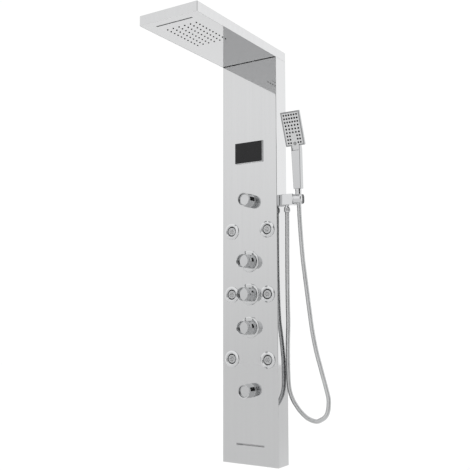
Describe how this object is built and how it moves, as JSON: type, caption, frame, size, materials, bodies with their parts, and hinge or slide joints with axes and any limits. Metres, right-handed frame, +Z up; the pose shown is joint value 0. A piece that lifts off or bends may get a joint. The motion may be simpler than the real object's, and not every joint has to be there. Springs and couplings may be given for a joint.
{
  "type": "rainfall shower column",
  "caption": "Wall-hung stainless shower column with a flat forward-reaching rain head, waterfall slot, round valve knobs, body jets, tub spout and a hand shower on a metal hose.",
  "frame": {"origin": "middle of the upper wall bracket's back face, on the wall, 1.200 m above the column's foot", "axes": "+Z up along the column, +Y into the wall, +X to the right of somebody who looks at the front"},
  "size_m": [0.3486, 0.489, 1.298],
  "materials": {
    "polished_steel": "mirror-polished stainless sheet",
    "bracket_steel": "plain galvanised sheet",
    "chrome": "bright chrome plate",
    "jet_insert": "satin chrome nozzle face",
    "spray_face": "satin chrome spray face",
    "hose_steel": "flexible interlocked steel hose",
    "silicone": "dark silicone",
    "black_glass": "glossy black display window",
    "brass": "cast and turned brass",
    "water_plastic": "moulded grey plastic"
  },
  "bodies": {
    "panel": {"column_panel": "polished_steel", "head_shell": "polished_steel", "rain_plate": "polished_steel", "spout_outlet": "polished_steel", "upper_hook_bar": "bracket_steel", "lower_hook_bar": "bracket_steel", "upper_wall_bracket": "bracket_steel", "lower_wall_bracket": "bracket_steel", "cradle_pivot": "bracket_steel", "rain_nozzle_mat": "silicone", "rain_chamber": "water_plastic", "waterfall_outlet": "water_plastic", "rain_pipe": "water_plastic", "waterfall_pipe": "water_plastic", "jet_pipes": "water_plastic", "hand_pipe": "water_plastic", "spout_pipe": "water_plastic", "display_housing": "chrome", "holder_block": "chrome", "outlet_nut": "chrome", "display_glass": "black_glass", "upper_diverter": "brass", "hot_valve": "brass", "jet_valve": "brass", "cold_valve": "brass", "lower_diverter": "brass", "mixing_manifold": "brass", "hot_inlet": "brass", "cold_inlet": "brass", "holder_nut": "brass", "hot_flange": "chrome", "jet_flange": "chrome", "cold_flange": "chrome", "jet_body_1": "chrome", "jet_body_2": "chrome", "jet_body_3": "chrome", "jet_body_4": "chrome", "jet_body_5": "chrome", "jet_body_6": "chrome", "hose": "hose_steel"},
    "hand_shower": {"spray_nozzles": "silicone", "hand_shower_body": "chrome", "cone_nut": "chrome", "spray_face": "spray_face"},
    "cradle_swivel": {"cradle": "chrome"},
    "mode_button": {"mode_button": "chrome"},
    "hot_control": {"hot_pin": "chrome", "hot_knob": "chrome"},
    "jet_control": {"jet_pin": "chrome", "jet_knob": "chrome"},
    "cold_control": {"cold_pin": "chrome", "cold_knob": "chrome"},
    "upper_control": {"upper_knob": "chrome"},
    "lower_control": {"lower_knob": "chrome"},
    "jet_1": {"jet_nozzle_1": "jet_insert"},
    "jet_2": {"jet_nozzle_2": "jet_insert"},
    "jet_3": {"jet_nozzle_3": "jet_insert"},
    "jet_4": {"jet_nozzle_4": "jet_insert"},
    "jet_5": {"jet_nozzle_5": "jet_insert"},
    "jet_6": {"jet_nozzle_6": "jet_insert"}
  },
  "joints": [
    {"name": "upper_turn", "type": "hinge", "parent": "panel", "child": "upper_control", "pos_m": [0, -0.062, -0.384], "axis": [0, 1, 0], "range_deg": [-90, 90]},
    {"name": "hot_turn", "type": "hinge", "parent": "panel", "child": "hot_control", "pos_m": [0, -0.062, -0.577], "axis": [0, 1, 0], "range_deg": [0, 90]},
    {"name": "jet_turn", "type": "hinge", "parent": "panel", "child": "jet_control", "pos_m": [0, -0.062, -0.68], "axis": [0, 1, 0], "range_deg": [0, 90]},
    {"name": "cold_turn", "type": "hinge", "parent": "panel", "child": "cold_control", "pos_m": [0, -0.062, -0.783], "axis": [0, 1, 0], "range_deg": [0, 90]},
    {"name": "lower_turn", "type": "hinge", "parent": "panel", "child": "lower_control", "pos_m": [0, -0.062, -0.976], "axis": [0, 1, 0], "range_deg": [-90, 90]},
    {"name": "jet_1_tilt", "type": "hinge", "parent": "panel", "child": "jet_1", "pos_m": [-0.065, -0.056, -0.479], "axis": [1, 0, 0], "range_deg": [-12, 12]},
    {"name": "jet_2_tilt", "type": "hinge", "parent": "panel", "child": "jet_2", "pos_m": [0.065, -0.056, -0.479], "axis": [1, 0, 0], "range_deg": [-12, 12]},
    {"name": "jet_3_tilt", "type": "hinge", "parent": "panel", "child": "jet_3", "pos_m": [-0.065, -0.056, -0.68], "axis": [1, 0, 0], "range_deg": [-12, 12]},
    {"name": "jet_4_tilt", "type": "hinge", "parent": "panel", "child": "jet_4", "pos_m": [0.065, -0.056, -0.68], "axis": [1, 0, 0], "range_deg": [-12, 12]},
    {"name": "jet_5_tilt", "type": "hinge", "parent": "panel", "child": "jet_5", "pos_m": [-0.065, -0.056, -0.881], "axis": [1, 0, 0], "range_deg": [-12, 12]},
    {"name": "jet_6_tilt", "type": "hinge", "parent": "panel", "child": "jet_6", "pos_m": [0.065, -0.056, -0.881], "axis": [1, 0, 0], "range_deg": [-12, 12]},
    {"name": "cradle_tilt", "type": "hinge", "parent": "panel", "child": "cradle_swivel", "pos_m": [0.1595, -0.029, -0.388], "axis": [1, 0, 0], "range_deg": [-10, 15], "deforming": ["hose"]},
    {"name": "hand_shower_turn", "type": "hinge", "parent": "cradle_swivel", "child": "hand_shower", "pos_m": [0.1595, -0.029, -0.388], "axis": [0, -0.0698, 0.9976], "range_deg": [-45, 45]},
    {"name": "mode_button_press", "type": "slide", "parent": "hand_shower", "child": "mode_button", "axis": [0, 0.9336, 0.3584], "range_m": [0, 0.0012], "stiffness_N_per_m": 400}
  ]
}
